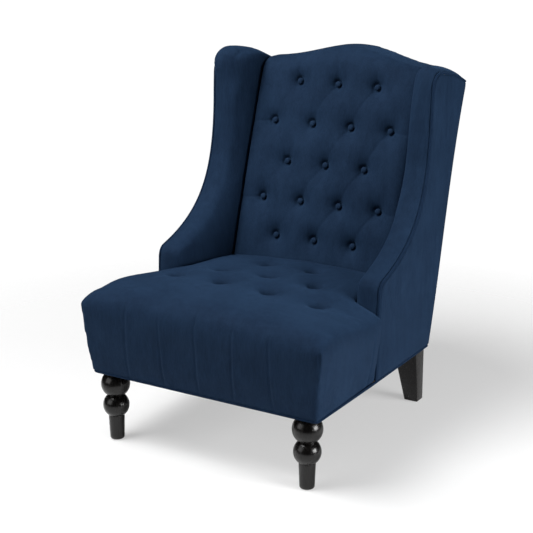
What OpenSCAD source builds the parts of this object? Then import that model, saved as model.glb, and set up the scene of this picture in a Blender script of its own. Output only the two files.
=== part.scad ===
// High-back tufted wing chair with a fixed frame, tight seat and turned front legs.
// The chair faces -Y and stands on Z = 0. Left and right are the sitter's: left is +X.
// Every board, spring, pad, cover, welt, leg and fastener is a piece of its own.

/* [Overall] */
// Floor to the top of the crest
overall_h = 985; // [900:5:1080]
// Front of the seat roll to the rear of the crest
overall_d = 876; // [800:4:960]
// Width over the outside arm panels
body_w = 684; // [620:4:780]
// Floor to the underside of the frame
base_h = 191; // [140:1:230]

/* [Seat] */
// How far the seat swells past each arm panel in front of the arms
seat_swell = 14; // [4:1:24]
// How far the seat front is set in from each arm panel at the base welt
seat_inset = 4.5; // [0:0.5:16]
// Floor to the top of the seat crown
seat_h = 446; // [410:2:480]
// Radius of the roll along the front of the seat
seat_roll_r = 68; // [40:1:80]
// How far the roll stands in front of the base welt
seat_bulge = 23; // [8:1:36]
// Front of the roll to the front of the arms
seat_lip = 338; // [300:2:380]
// Spacing of the blind tufts across the seat
seat_tuft_x = 153; // [120:1:165]
// Spacing of the blind tufts along the seat
seat_tuft_y = 128; // [100:1:140]

/* [Back and wings] */
// Forward reach of the wing from the rear of the crest
wing_reach = 250; // [200:2:290]
// Thickness of an arm and wing with its padding
wing_t = 75; // [60:1:90]
// Floor to the nose of the arm
arm_h = 460; // [430:2:520]
// How far the crest rises above its shoulders
crest_rise = 50; // [20:1:80]
// Depth of the button tufts in the back
tuft_depth = 34; // [18:1:44]
// Spacing of the back buttons across
button_pitch_x = 122; // [100:1:130]
// Spacing of the first two rows of back buttons
button_pitch_z = 110; // [95:1:118]
// Diameter of a covered button
button_d = 20; // [14:1:28]

/* [Frame] */
// Thickness of the seat rails
rail_t = 20; // [16:1:26]
// Height of the seat rails
rail_h = 94; // [70:1:105]
// Thickness of the plywood wing frames
ply_t = 18; // [12:1:22]
// Thickness of the posts and rails of the back
post_t = 25; // [18:1:30]
// Diameter of the zigzag spring wire
spring_wire_d = 4; // [3:0.5:5]

/* [Covers] */
// Thickness of the backed cover fabric
cover_t = 3; // [2:0.5:5]
// Diameter of the welt piping
welt_d = 7; // [5:0.5:9]

/* [Legs] */
// Radius of the upper ball of a turned front leg
ball_top_r = 38.5; // [32:0.5:42]
// Radius of the lower ball of a turned front leg
ball_low_r = 35; // [28:0.5:38]
// Diameter of the turned shank below the balls
shank_top_d = 43; // [36:1:50]
// Diameter of the turned shank at the floor
shank_foot_d = 38; // [30:1:46]
// Width of the square foot of a rear leg
rear_foot_w = 41; // [34:1:50]
// Backward rake of a rear leg from the frame to the floor
rear_leg_rake = 96; // [50:2:120]
// Diameter of the hanger bolts
bolt_d = 8; // [6:1:10]
// Thickness of the glides under the legs
glide_t = 1.5; // [1:0.5:4]

/* [Hidden] */
$fn = 48;

navy = [0.13, 0.19, 0.31];
welt_navy = [0.09, 0.14, 0.24];
beech = [0.78, 0.62, 0.42];
plywood = [0.82, 0.70, 0.52];
foam_cream = [0.93, 0.89, 0.74];
felt_grey = [0.55, 0.55, 0.53];
web_tan = [0.66, 0.55, 0.38];
black_cloth = [0.10, 0.10, 0.11];
espresso = [0.07, 0.055, 0.05];
steel = [0.68, 0.69, 0.71];

// Clearance between pieces that lie against each other
gap = 0.4;
// Room for the padding between the cover and the frame at the base
base_pad = 8;
// Mesh step along a curved outline
curve_n = 14;

// Main planes
y_front = -overall_d / 2;
y_rear = overall_d / 2;
x_side = body_w / 2;
x_ply = x_side - welt_d;
x_rail = x_ply - ply_t;
x_wing = x_side - wing_t;
seat_w = body_w + 2 * seat_swell;
seat_base_w = body_w - 2 * seat_inset;
// The padded outside back is as thick as the welt, so that it finishes flush with it
back_panel_t = welt_d;
rail_top = base_h + rail_h;
deck_z = rail_top + spring_wire_d + 9;
cover_low = base_h + welt_d + gap;
rail_front = y_front + seat_bulge + base_pad;

// Rear line of the chair: a gentle S from the base to the crest
crest_roll = 25;
rear_base = y_rear - 220;
rear_low = y_rear - 138;
rear_high = y_rear - 114;
rear_tip = y_rear + 11;
crest_half = x_wing + 26;

// Back face: a plane through the button seats that leans and bows a little
back_ref_z = overall_h - 385;
back_ref_y = y_rear - 218;
back_rake = 0.31;
back_bow = 2.5;
back_bow_span = 200;
back_low = seat_h - 46;
back_gap = post_t + back_panel_t + 4;
button_rows = 5;
row_closing = 1.2;
first_row = overall_h - 105;
button_t = 7;
tie_d = 2;
web_rows = 5;
web_w = 50;

// Arm and wing outline
arm_front = y_front + seat_lip;
arm_front_low = arm_front - 11;
arm_shoulder = arm_h - 35;
nose_run = 18;
wing_crown = 13;
wing_front = y_rear - wing_reach;
wing_top = overall_h - 36;
wing_rear_z = overall_h - 79;
scoop_top = overall_h - 125;
scoop_reach = 195;
scoop_lift = 57;
scoop_drop = 238;
wing_low = rail_top + 6;
post_top = overall_h - 136;
post_w = x_rail - x_wing - cover_t - 11;

// Seat
seat_roll_z = seat_h - 6 - seat_roll_r;
seat_rear = face_y(back_low) - gap;
seat_rear_z = seat_h - 20;
seat_rear_half = x_wing - 2;
seat_side_roll = 206;
seat_side_lift = [45, 68];
tuft_cone = 44;
tuft_drop = 44;
first_tuft = y_front + 238;

// Springs
spring_count = 5;
spring_r = 16;
spring_half = 22;
spring_z = rail_top + spring_wire_d / 2 + 1.5;

// Front legs
front_leg_x = seat_base_w / 2 - 47.5;
front_leg_y = y_front + seat_bulge + 38;
ball_top_z = base_h - 34;
ball_low_z = base_h - 94;
neck_z = (ball_top_z + ball_low_z) / 2 + 1;
neck_r = 20.5;
leg_top = base_h - 1;
tee_flange_d = bolt_d + 12;
bolt_x = x_rail - rail_t - 17;
front_bolt_y = block_front_y + tee_flange_d / 2 + 0.5;
front_bolt_depth = 45;
glide_r = 12;

// Rear legs
rear_leg_top_x = [x_side - 77, x_side - 9];
rear_leg_foot_x = x_side - 86;
rear_leg_top_w = 55;
rear_leg_y = rear_base - 65;
rear_bolt_y = block_rear_y - tee_flange_d / 2 - 0.5;
rear_bolt_depth = 25;
rear_foot_d = 37;

// Corner blocks
block_leg = 90;
block_h = 45;
block_front_y = rail_front + rail_t;
block_rear_y = rear_base - post_t - back_panel_t;
screw_d = 5;
screw_l = 42;
screw_up = 22;
screw_in = 56;

function bez2(a, b, c, t) = a * (1 - t) * (1 - t) + b * 2 * t * (1 - t) + c * t * t;
function bez3(a, b, c, d, t) =
  a * pow(1 - t, 3) + b * 3 * t * pow(1 - t, 2) + c * 3 * t * t * (1 - t) + d * pow(t, 3);

// Depth of the rear line at height z
function rear_y(z) =
  bez3(rear_base, rear_low, rear_high, rear_tip, (z - base_h) / (overall_h - base_h));
// Depth of the plane that the back buttons sit on
function button_y(z) =
  back_ref_y + back_rake * (z - back_ref_z) + back_bow * pow((z - back_ref_z) / back_bow_span, 2);
// Depth of the padded face of the back
function face_y(z) = button_y(z) - tuft_depth;
// Height of the crest across the back
function crest_z(x) = overall_h - crest_rise * (1 - cos(180 * min(abs(x) / crest_half, 1))) / 2;

function steps(a, b, n) = [for (i = [0 : n]) a + (b - a) * i / n];
function rear_line(z0, z1, inset) =
  [for (z = steps(z0, z1, curve_n)) [rear_y(z) - inset, z]];

// Rows of back buttons from the crest down to the seat: three, four, three, four, three
function row_z(i) = first_row - button_pitch_z * i + row_closing * i * i;
function row_count(i) = i % 2 == 0 ? 3 : 4;
button_seats = [
  for (i = [0 : button_rows - 1])
    if (row_z(i) > seat_h + button_d / 2) for (k = [0 : row_count(i) - 1])
      [(k - (row_count(i) - 1) / 2) * button_pitch_x, row_z(i)]
];

// Blind tufts of the seat: four, three, two
seat_tufts = [
  for (i = [0 : 2])
    for (k = [0 : 3 - i])
      [(k - (3 - i) / 2) * seat_tuft_x, first_tuft + i * seat_tuft_y]
];

// Extrude a (y, z) outline from x0 to x1
module along_x(x0, x1) {
  translate([x0, 0, 0]) rotate([90, 0, 90]) linear_extrude(x1 - x0) children();
}

// Extrude an (x, z) outline from y0 to y1
module along_y(y0, y1) {
  translate([0, y1, 0]) rotate([90, 0, 0]) linear_extrude(y1 - y0) children();
}

// The right hand piece is the mirror image of the left hand one
module right_hand() {
  mirror([1, 0, 0]) children();
}

module both_sides() {
  children();
  mirror([1, 0, 0]) children();
}

// A layer that follows the rear line, between two insets from it
module rear_strip(z0, z1, inset0, inset1) {
  polygon(concat(rear_line(z0, z1, inset0), rear_line(z1, z0, inset1)));
}

// ---------- frame ----------

module rail_screw_holes() {
  both_sides() corner_screw_pair(block_front_y, 1);
  both_sides() corner_screw_pair(block_rear_y, -1);
}

// Two screws that fix the left corner block at depth y to its rails; dir points inwards
module corner_screw_pair(y, dir) {
  rail_in = x_rail - rail_t;
  translate([rail_in - screw_in, y - dir * rail_t * 0.7, base_h + screw_up])
    rotate([-dir * 90, 0, 0]) cylinder(h = screw_l, d = screw_d, $fn = 24);
  translate([rail_in + rail_t * 0.7 - screw_l, y + dir * screw_in, base_h + screw_up])
    rotate([0, 90, 0]) cylinder(h = screw_l, d = screw_d, $fn = 24);
}

module seat_front_rail() {
  color(beech) difference() {
    translate([-x_rail, rail_front, base_h]) cube([2 * x_rail, rail_t, rail_h]);
    rail_screw_holes();
  }
}

module seat_rail_left() {
  color(beech) difference() {
    along_x(x_rail - rail_t, x_rail) polygon(concat(
      [[block_front_y, rail_top], [block_front_y, base_h]],
      rear_line(base_h, rail_top, post_t + back_panel_t + gap)));
    rail_screw_holes();
  }
}

module seat_back_rail() {
  color(beech) difference() {
    along_x(-(x_rail - post_w), x_rail - post_w)
      rear_strip(base_h, rail_top, back_panel_t + gap, post_t + back_panel_t);
    rail_screw_holes();
  }
}

module block_plan(y, dir) {
  rail_in = x_rail - rail_t;
  polygon([[rail_in, y], [rail_in, y + dir * block_leg], [rail_in - 12, y + dir * block_leg],
    [rail_in - block_leg, y + dir * 12], [rail_in - block_leg, y]]);
}

module corner_block_front_left() {
  color(beech) difference() {
    translate([0, 0, base_h]) linear_extrude(block_h) block_plan(block_front_y, 1);
    translate([bolt_x, front_bolt_y, 0]) cylinder(h = rail_top, d = bolt_d + 3);
    rail_screw_holes();
  }
}

module corner_block_rear_left() {
  color(beech) difference() {
    translate([0, 0, base_h]) linear_extrude(block_h) block_plan(block_rear_y, -1);
    translate([bolt_x, rear_bolt_y, 0]) cylinder(h = rail_top, d = bolt_d + 3);
    rail_screw_holes();
  }
}

module corner_block_screws() {
  color(steel) intersection() {
    rail_screw_holes();
    translate([-x_side, y_front, base_h]) cube([body_w, overall_d, rail_h]);
  }
}

module back_post_left() {
  color(beech) along_x(x_rail - post_w, x_rail)
    rear_strip(base_h, post_top, back_panel_t + gap, post_t + back_panel_t);
}

// Front view of the crest board, at depth pad under the covers
module crest_outline(pad) {
  side_z = wing_rear_z - pad - 8;
  polygon(concat(
    [[-x_rail, 0], [x_rail, 0], [x_rail, side_z], [x_wing, side_z]],
    [for (x = steps(x_wing - 6, -(x_wing - 6), 2 * curve_n)) [x, crest_z(x) - pad]],
    [[-x_wing, side_z], [-x_rail, side_z]]));
}

module crest_rail() {
  color(beech) intersection() {
    along_x(-x_rail, x_rail)
      rear_strip(post_top + gap, overall_h, back_panel_t + gap, post_t + back_panel_t);
    along_y(0, y_rear + 20) crest_outline(cover_t + 12);
  }
}

module back_lower_rail() {
  color(beech) along_x(-(x_rail - post_w), x_rail - post_w)
    rear_strip(seat_h - 40, seat_h + 20, back_panel_t + gap, post_t + back_panel_t);
}

// Outline of the arm and wing, inset by t along its front and top, down to height low.
// The top stands higher by up, where the padding crowns between the two edges.
function arm_front_y(z) =
  arm_front_low + (arm_front - arm_front_low) * min((z - base_h) / (arm_shoulder - base_h), 1);
function wing_edge(t, low, up = 0) = concat(
  [[arm_front_y(low) + t, low]],
  [for (s = steps(0, 1, 5))
    bez2([arm_front, arm_shoulder], [arm_front, arm_h - 8], [arm_front + nose_run, arm_h], s)
    + [t, -t]],
  [for (s = steps(0.08, 1, curve_n))
    bez3([arm_front + nose_run, arm_h], [arm_front + nose_run + scoop_reach, arm_h + scoop_lift],
      [wing_front - 3, scoop_top - scoop_drop], [wing_front, scoop_top], s) + [t, -t]],
  [for (s = steps(0, 1, 6))
    bez2([wing_front + 2, overall_h - 80], [wing_front + 4, wing_top - 2],
      [wing_front + 41, wing_top], s) + [t, up * min(s * 2, 1) - t]],
  [for (s = steps(0.2, 1, 5))
    bez2([wing_front + 41, wing_top], [wing_front + 150, wing_top - 12],
      [rear_y(wing_rear_z) - back_panel_t - gap, wing_rear_z], s) + [0, up - t]]);
function wing_outline(t, low, up = 0) =
  concat(wing_edge(t, low, up), rear_line(wing_rear_z + up - 2 * t - 1, low, back_panel_t + gap));

module wing_frame_left() {
  color(plywood) along_x(x_rail + gap, x_ply - gap) polygon(wing_outline(cover_t + gap, base_h));
}

module arm_post_left() {
  color(beech) along_x(x_rail - post_w, x_rail)
    polygon([[arm_front_y(rail_top) + cover_t + 6, rail_top], [arm_front + 52, rail_top],
      [arm_front + 52, arm_h + 2], [arm_front + 42, arm_h - 6],
      [arm_front + cover_t + 6, arm_shoulder - 8]]);
}

// ---------- springs and webbing ----------

// One zigzag spring from the front rail to the back rail
module zigzag_spring() {
  y0 = rail_front + rail_t / 2 + spring_r;
  y1 = rear_y(rail_top) - back_panel_t - post_t / 2;
  n = floor((y1 - y0) / (2 * spring_r));
  for (i = [0 : n - 1]) {
    side = i % 2 == 0 ? 1 : -1;
    translate([side * spring_half, y0 + (2 * i + 1) * spring_r, 0])
      rotate([0, 0, side > 0 ? -90 : 90]) rotate_extrude(angle = 180, $fn = 32)
        translate([spring_r, 0]) circle(d = spring_wire_d, $fn = 16);
  }
  for (i = [0 : n])
    translate([-spring_half, y0 + 2 * i * spring_r, 0]) rotate([0, 90, 0])
      cylinder(h = 2 * spring_half, d = spring_wire_d, $fn = 16);
}

function spring_x(i) = (i - (spring_count - 1) / 2) * (2 * x_rail - 120) / spring_count;

module seat_springs() {
  color(steel) for (i = [0 : spring_count - 1])
    translate([spring_x(i), 0, spring_z]) zigzag_spring();
}

// Clips that hold the end bars of the springs on the rails
module spring_clips() {
  y0 = rail_front + rail_t / 2 + spring_r;
  y1 = rear_y(rail_top) - back_panel_t - post_t / 2;
  n = floor((y1 - y0) / (2 * spring_r));
  color(steel) for (i = [0 : spring_count - 1])
    for (y = [y0, y0 + 2 * n * spring_r])
      translate([spring_x(i), y, spring_z]) rotate([0, 90, 0]) difference() {
        cylinder(h = 14, d = spring_wire_d + 3, center = true, $fn = 24);
        cylinder(h = 16, d = spring_wire_d + 0.2, center = true, $fn = 24);
      }
}

module seat_insulator() {
  color(felt_grey)
    translate([-(x_wing - 4), rail_front + 4, deck_z - 4 - gap])
      cube([2 * (x_wing - 4), seat_rear - rail_front - 8, 4]);
}

// Straps across the front faces of the back posts
module back_webbing() {
  for (i = [0 : web_rows - 1]) {
    z = back_low + 60 + i * (post_top - back_low - 60) / web_rows;
    color(web_tan) along_x(-(x_rail - 6), x_rail - 6)
      rear_strip(z, z + web_w, post_t + back_panel_t + gap, post_t + back_panel_t + 2);
  }
}

module back_insulator() {
  color(felt_grey) along_x(-(x_wing - 8), x_wing - 8)
    rear_strip(back_low + 10, overall_h - 100, post_t + back_panel_t + 2.3,
      post_t + back_panel_t + 3.6);
}

// ---------- seat ----------

// Side outline of the seat, inset by t, from height low up over the roll and the crown
function seat_top_line(t) = concat(
  [for (s = steps(0, 1, 4))
    bez2([y_front + seat_bulge + t, cover_low], [y_front + 4 + t, cover_low + 70],
      [y_front + t, seat_roll_z], s)],
  [for (a = steps(171, 96, 8))
    [y_front + seat_roll_r + (seat_roll_r - t) * cos(a),
      seat_roll_z + (seat_roll_r - t) * sin(a)]],
  [for (s = steps(0.1, 1, 7))
    bez2([y_front + seat_roll_r, seat_h - 6 - t],
      [(y_front + seat_rear) / 2 - 20, seat_h + 12 - t], [seat_rear - t, seat_rear_z - t], s)]);

// Front outline of the seat, inset by t
function seat_front_line(t) = concat(
  [[seat_base_w / 2 - t, cover_low]],
  [for (s = steps(0, 1, 10))
    bez3([seat_w / 2, seat_roll_z], [seat_w / 2, seat_roll_z + seat_side_lift[0]],
      [seat_w / 2 - 56, seat_roll_z + seat_side_lift[1]],
      [seat_w / 2 - seat_side_roll, seat_h + 4], s) - [t, t]]);

module seat_solid(t, low) {
  half = seat_w / 2 + 10;
  right = seat_front_line(t);
  n = len(right) - 1;
  difference() {
    intersection() {
      union() {
        intersection() {
          along_x(-half, half) polygon(concat(seat_top_line(t),
            [[seat_rear, low], [y_front + seat_bulge + t, low]]));
          along_x(-half, half) polygon([[y_front - 10, low], [y_front - 10, seat_h + 20],
            [arm_front - gap - t, seat_h + 20], [arm_front - gap - t, arm_shoulder],
            [arm_front_y(low) - gap - t, low]]);
        }
        along_x(-(seat_rear_half - t), seat_rear_half - t)
          polygon(concat(seat_top_line(t), [[seat_rear - t, low], [y_front + 90, low]]));
      }
      along_y(y_front - 10, seat_rear + 10) polygon(concat(
        [[seat_base_w / 2 - t, low]], right,
        [for (i = [n : -1 : 0]) [-right[i][0], right[i][1]]], [[-seat_base_w / 2 + t, low]]));
    }
    for (p = seat_tufts)
      translate([p[0], p[1], seat_h - tuft_drop - t])
        cylinder(h = tuft_drop + 20, d1 = 8 + 2 * t, d2 = 8 + 2 * t + tuft_cone * 1.45);
  }
}

// Room for the frame and the springs under the seat
module seat_frame_room() {
  translate([-x_rail - gap, rail_front - gap, 0])
    cube([2 * (x_rail + gap), overall_d, deck_z]);
}

module seat_tie_holes(d) {
  for (p = seat_tufts)
    translate([p[0], p[1], deck_z - 6]) cylinder(h = seat_h - tuft_drop - deck_z + 8, d = d, $fn = 16);
}

module seat_foam() {
  color(foam_cream) difference() {
    seat_solid(cover_t + gap, cover_low);
    seat_frame_room();
    seat_tie_holes(tie_d + 1);
  }
}

module seat_cover() {
  color(navy) difference() {
    seat_solid(0, cover_low);
    seat_solid(cover_t, cover_low - 20);
    seat_frame_room();
    seat_tie_holes(tie_d + 1);
  }
}

module seat_tuft_ties() {
  color(web_tan) for (p = seat_tufts)
    translate([p[0], p[1], deck_z - gap])
      cylinder(h = seat_h - tuft_drop - deck_z, d = tie_d, $fn = 16);
}

// ---------- back ----------

// The padded back between the wings, inset by t; it rolls over the crest
module back_solid(t, low, rear_out) {
  half = x_wing - gap - 2 - t;
  top = overall_h - t;
  difference() {
    intersection() {
      along_x(-half, half) polygon(concat(
        [for (z = steps(low, overall_h - 42, curve_n)) [face_y(z) + t, z]],
        [for (s = steps(0.25, 1, 4)) bez2([face_y(overall_h - 42) + t, overall_h - 42],
          [face_y(overall_h) + t, top], [face_y(overall_h) + 40, top], s)],
        [[rear_y(top) - back_panel_t - crest_roll, top]],
        rear_line(overall_h - crest_roll, low, back_panel_t + gap - rear_out)));
      along_y(y_front, y_rear + 60) polygon(concat(
        [[-half, low - 10], [half, low - 10]],
        [for (x = steps(half, -half, 2 * curve_n)) [x, crest_z(x) - t]]));
    }
    for (p = button_seats)
      translate([p[0], button_y(p[1]) + t, p[1]]) rotate([90 - atan(back_rake), 0, 0])
        cylinder(h = tuft_depth + 30, d1 = button_d + 4 + 2 * t, d2 = button_d + 4 + tuft_depth + 60);
  }
}

module back_rear_room(z1) {
  along_x(-x_side, x_side)
    rear_strip(base_h, z1, -60, back_gap);
}

module button_tie_holes(d) {
  for (p = button_seats)
    translate([p[0], button_y(p[1]) - 1, p[1]]) rotate([-90, 0, 0]) cylinder(h = 160, d = d, $fn = 16);
}

module back_foam() {
  color(foam_cream) difference() {
    back_solid(cover_t + gap, back_low + cover_t, 40);
    back_rear_room(overall_h);
    button_tie_holes(tie_d + 1);
  }
}

module back_cover() {
  color(navy) difference() {
    back_solid(0, back_low, 0);
    back_solid(cover_t, back_low - 30, 40);
    back_rear_room(post_top + gap);
    intersection() {
      back_rear_room(overall_h);
      along_y(0, y_rear + 60) crest_outline(cover_t + 10);
    }
    button_tie_holes(tie_d + 1);
  }
}

module back_buttons() {
  color(navy) for (p = button_seats)
    translate([p[0], button_y(p[1]), p[1]]) rotate([90 - atan(back_rake), 0, 0])
      translate([0, 0, 1]) intersection() {
        cylinder(h = button_t, d = button_d);
        translate([0, 0, button_t - button_d]) sphere(r = button_d);
      }
}

// Twines from the buttons to the webbing layer
module back_button_ties() {
  color(web_tan) for (p = button_seats) {
    y0 = button_y(p[1]) + 0.6;
    translate([p[0], y0, p[1]]) rotate([-90, 0, 0])
      cylinder(h = rear_y(p[1]) - back_gap - y0, d = tie_d, $fn = 16);
  }
}

// ---------- arms and wings ----------

module wing_cover_left() {
  color(navy) difference() {
    along_x(x_wing, x_ply - gap) polygon(wing_outline(0, wing_low, wing_crown));
    along_x(x_wing + cover_t, x_side) polygon(concat(
      wing_edge(cover_t, wing_low - 20, wing_crown),
      [[y_rear + 60, wing_rear_z + wing_crown - cover_t], [y_rear + 60, wing_low - 20]]));
    along_x(0, x_rail + gap)
      rear_strip(base_h, wing_rear_z - 10, -60, post_t + back_panel_t + 4);
  }
}

module wing_foam_left() {
  color(foam_cream) difference() {
    along_x(x_wing + cover_t + gap, x_rail - gap)
      polygon(wing_outline(cover_t + gap, wing_low, wing_crown));
    along_x(0, x_side) rear_strip(base_h, overall_h, -60, post_t + back_panel_t + 4);
    along_x(x_rail - post_w - gap, x_side)
      polygon([[arm_front - 20, rail_top - 10], [arm_front + 52 + gap, rail_top - 10],
        [arm_front + 52 + gap, arm_h + 2 + gap], [arm_front + 42, arm_h - 6 + gap],
        [arm_front - 20, arm_shoulder - 24]]);
  }
}

module side_panel_left() {
  color(navy) along_x(x_ply, x_side)
    polygon(concat(wing_edge(welt_d + gap, cover_low), [[rear_y(wing_rear_z) - 1, wing_rear_z - 8]],
      rear_line(wing_rear_z - 10, cover_low, 1)));
}

module outside_back_panel() {
  color(navy) intersection() {
    along_x(-(x_ply - gap), x_ply - gap) rear_strip(cover_low, overall_h, 0, back_panel_t);
    along_y(0, y_rear + 60) polygon(concat(
      [[-x_side, 0], [x_side, 0], [x_side, wing_rear_z - 12], [x_wing, wing_rear_z - 12]],
      [for (x = steps(x_wing - 4, -(x_wing - 4), 2 * curve_n)) [x, crest_z(x) - crest_roll]],
      [[-x_wing, wing_rear_z - 12], [-x_side, wing_rear_z - 12]]));
  }
}

// ---------- welts ----------

function unit(v) = v / norm(v);
function route_dir(p, i) = unit(p[min(i + 1, len(p) - 1)] - p[max(i - 1, 0)]);

// A round cord swept along the points p; a closed route joins its ends
module welt_tube(p, d, closed = false) {
  sides = 8;
  n = len(p);
  dirs = [for (i = [0 : n - 1])
    closed ? unit(p[(i + 1) % n] - p[(i + n - 1) % n]) : route_dir(p, i)];
  flat = closed ? [0, 0, 1] : [1, 0, 0];
  rings = [for (i = [0 : n - 1])
    let (u = unit(flat - dirs[i] * (flat * dirs[i])), v = cross(dirs[i], u))
      for (k = [0 : sides - 1])
        p[i] + (u * cos(360 * k / sides) + v * sin(360 * k / sides)) * d / 2];
  spans = closed ? n : n - 1;
  sides_faces = [for (i = [0 : spans - 1]) for (k = [0 : sides - 1])
    let (a = i * sides, b = ((i + 1) % n) * sides, l = (k + 1) % sides)
      for (f = [[a + k, b + k, b + l], [a + k, b + l, a + l]]) f];
  caps = closed ? [] : [[for (k = [0 : sides - 1]) k],
    [for (k = [sides - 1 : -1 : 0]) (n - 1) * sides + k]];
  polyhedron(points = rings, faces = concat(sides_faces, caps));
}

module side_welt_left() {
  inset = welt_d / 2;
  edge = wing_edge(inset, cover_low + 1);
  color(welt_navy)
    welt_tube([for (q = edge) [x_side - inset, q[0], q[1]]], welt_d - 2 * gap);
}

// Corner of the base welt, rounded with radius r
function round_corner(c, from, to, r) =
  [for (s = steps(0, 1, 4)) bez2(c + unit(from - c) * r, c, c + unit(to - c) * r, s)];

module base_welt() {
  r = welt_d / 2;
  z = base_h + r;
  fx = seat_base_w / 2 - r;
  fy = y_front + seat_bulge + r;
  sx = x_side - r;
  ay = arm_front_low - 4;
  ry = rear_y(base_h + welt_d) - r;
  half = [[fx, fy], [sx, ay], [sx, ry]];
  path = concat(
    round_corner(half[0], [0, fy], half[1], 14),
    [half[1] + unit(half[0] - half[1]) * 20, half[1] + [0, 20]],
    round_corner(half[2], half[1], [0, ry], 6));
  n = len(path);
  loop = concat(path, [for (i = [n - 1 : -1 : 0]) [-path[i][0], path[i][1]]]);
  color(welt_navy) welt_tube([for (q = loop) [q[0], q[1], z]], welt_d - 2 * gap, closed = true);
}

// ---------- underside ----------

module leg_bolt_places() {
  both_sides() translate([bolt_x, front_bolt_y, 0]) children(0);
  both_sides() translate([bolt_x, rear_bolt_y, 0]) children(1);
}

module dust_cover() {
  edge = welt_d + 2;
  color(black_cloth) difference() {
    translate([0, 0, base_h - 1]) linear_extrude(1) polygon([
      [-seat_base_w / 2 + edge, y_front + seat_bulge + edge],
      [seat_base_w / 2 - edge, y_front + seat_bulge + edge],
      [x_side - edge, arm_front], [x_side - edge, rear_base - edge],
      [-x_side + edge, rear_base - edge], [-x_side + edge, arm_front]]);
    leg_bolt_places() {
      cylinder(h = base_h + 10, d = bolt_d + 1);
      cylinder(h = base_h + 10, d = bolt_d + 1);
    }
  }
}

module dust_cover_staples() {
  x0 = x_rail - rail_t / 2;
  y0 = rail_front + rail_t / 2;
  color(steel) {
    for (x = [-180 : 60 : 180])
      translate([x - 5, y0, base_h - 1.6]) cube([10, 1, 0.6]);
    for (s = [-1, 1], y = [-240 : 60 : 60])
      translate([s * x0, y - 5, base_h - 1.6]) cube([1, 10, 0.6]);
  }
}

// ---------- legs ----------

function arc_points(cz, r, a0, a1, n) = [for (a = steps(a0, a1, n)) [r * cos(a), cz + r * sin(a)]];

module front_leg_left() {
  join_a = asin((neck_z + 5 - ball_top_z) / ball_top_r);
  join_b = asin((neck_z - 5 - ball_low_z) / ball_low_r);
  shank_z = ball_low_z - sqrt(pow(ball_low_r, 2) - pow(shank_top_d / 2 + 1.5, 2));
  top_a = asin((leg_top - ball_top_z) / ball_top_r);
  color(espresso) difference() {
    translate([front_leg_x, front_leg_y, 0]) rotate_extrude($fn = 72) polygon(concat(
      [[0, glide_t], [shank_foot_d / 2 - 4, glide_t], [shank_foot_d / 2 - 1.2, glide_t + 1.2],
        [shank_foot_d / 2, glide_t + 4], [shank_top_d / 2, shank_z - 4],
        [shank_top_d / 2 - 1, shank_z - 1]],
      arc_points(ball_low_z, ball_low_r, -acos((shank_top_d / 2 + 1.5) / ball_low_r), join_b, 18),
      [[neck_r, neck_z - 2], [neck_r, neck_z + 2]],
      arc_points(ball_top_z, ball_top_r, join_a, top_a, 18),
      [[0, leg_top]]));
    translate([bolt_x, front_bolt_y, leg_top - front_bolt_depth])
      cylinder(h = front_bolt_depth + 1, d = bolt_d);
  }
}

module rear_leg_left() {
  foot_out = rear_leg_foot_x + rear_foot_w;
  foot_y = rear_leg_y + rear_leg_rake + 7;
  color(espresso) difference() {
    intersection() {
      along_x(0, x_side) polygon([[rear_leg_y, leg_top], [foot_y, glide_t],
        [foot_y + rear_foot_d, glide_t], [rear_leg_y + rear_leg_top_w, leg_top]]);
      along_y(0, y_rear) polygon([[rear_leg_foot_x, glide_t], [foot_out, glide_t],
        [rear_leg_top_x[1], leg_top], [rear_leg_top_x[0], leg_top]]);
    }
    translate([bolt_x, rear_bolt_y, leg_top - rear_bolt_depth])
      cylinder(h = rear_bolt_depth + 1, d = bolt_d);
  }
}

module leg_hanger_bolts() {
  up = block_h + 6;
  color(steel) leg_bolt_places() {
    translate([0, 0, leg_top - front_bolt_depth + 1])
      cylinder(h = front_bolt_depth + up, d = bolt_d - 0.4);
    translate([0, 0, leg_top - rear_bolt_depth + 1])
      cylinder(h = rear_bolt_depth + up, d = bolt_d - 0.4);
  }
}

module tee_nut() {
  translate([0, 0, base_h + block_h]) difference() {
    union() {
      translate([0, 0, gap]) cylinder(h = 1.6, d = tee_flange_d);
      translate([0, 0, -10]) cylinder(h = 11, d = bolt_d + 2.6);
    }
    translate([0, 0, -11]) cylinder(h = 20, d = bolt_d);
  }
}

module leg_tee_nuts() {
  color(steel) leg_bolt_places() {
    tee_nut();
    tee_nut();
  }
}

module leg_glides() {
  foot_x = rear_leg_foot_x + rear_foot_w / 2;
  foot_y = rear_leg_y + rear_leg_rake + 7 + rear_foot_d / 2;
  color(black_cloth) both_sides() {
    translate([front_leg_x, front_leg_y, 0]) cylinder(h = glide_t, r = glide_r);
    translate([foot_x, foot_y, 0]) cylinder(h = glide_t, r = glide_r);
  }
}

seat_front_rail();
seat_rail_left();
right_hand() seat_rail_left();  // seat_rail_right
seat_back_rail();
corner_block_front_left();
right_hand() corner_block_front_left();  // corner_block_front_right
corner_block_rear_left();
right_hand() corner_block_rear_left();  // corner_block_rear_right
corner_block_screws();
back_post_left();
right_hand() back_post_left();  // back_post_right
crest_rail();
back_lower_rail();
wing_frame_left();
right_hand() wing_frame_left();  // wing_frame_right
arm_post_left();
right_hand() arm_post_left();  // arm_post_right
seat_springs();
spring_clips();
seat_insulator();
back_webbing();
back_insulator();
seat_foam();
seat_cover();
seat_tuft_ties();
back_foam();
back_cover();
back_buttons();
back_button_ties();
wing_foam_left();
right_hand() wing_foam_left();  // wing_foam_right
wing_cover_left();
right_hand() wing_cover_left();  // wing_cover_right
side_panel_left();
right_hand() side_panel_left();  // side_panel_right
outside_back_panel();
side_welt_left();
right_hand() side_welt_left();  // side_welt_right
base_welt();
dust_cover();
dust_cover_staples();
front_leg_left();
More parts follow.
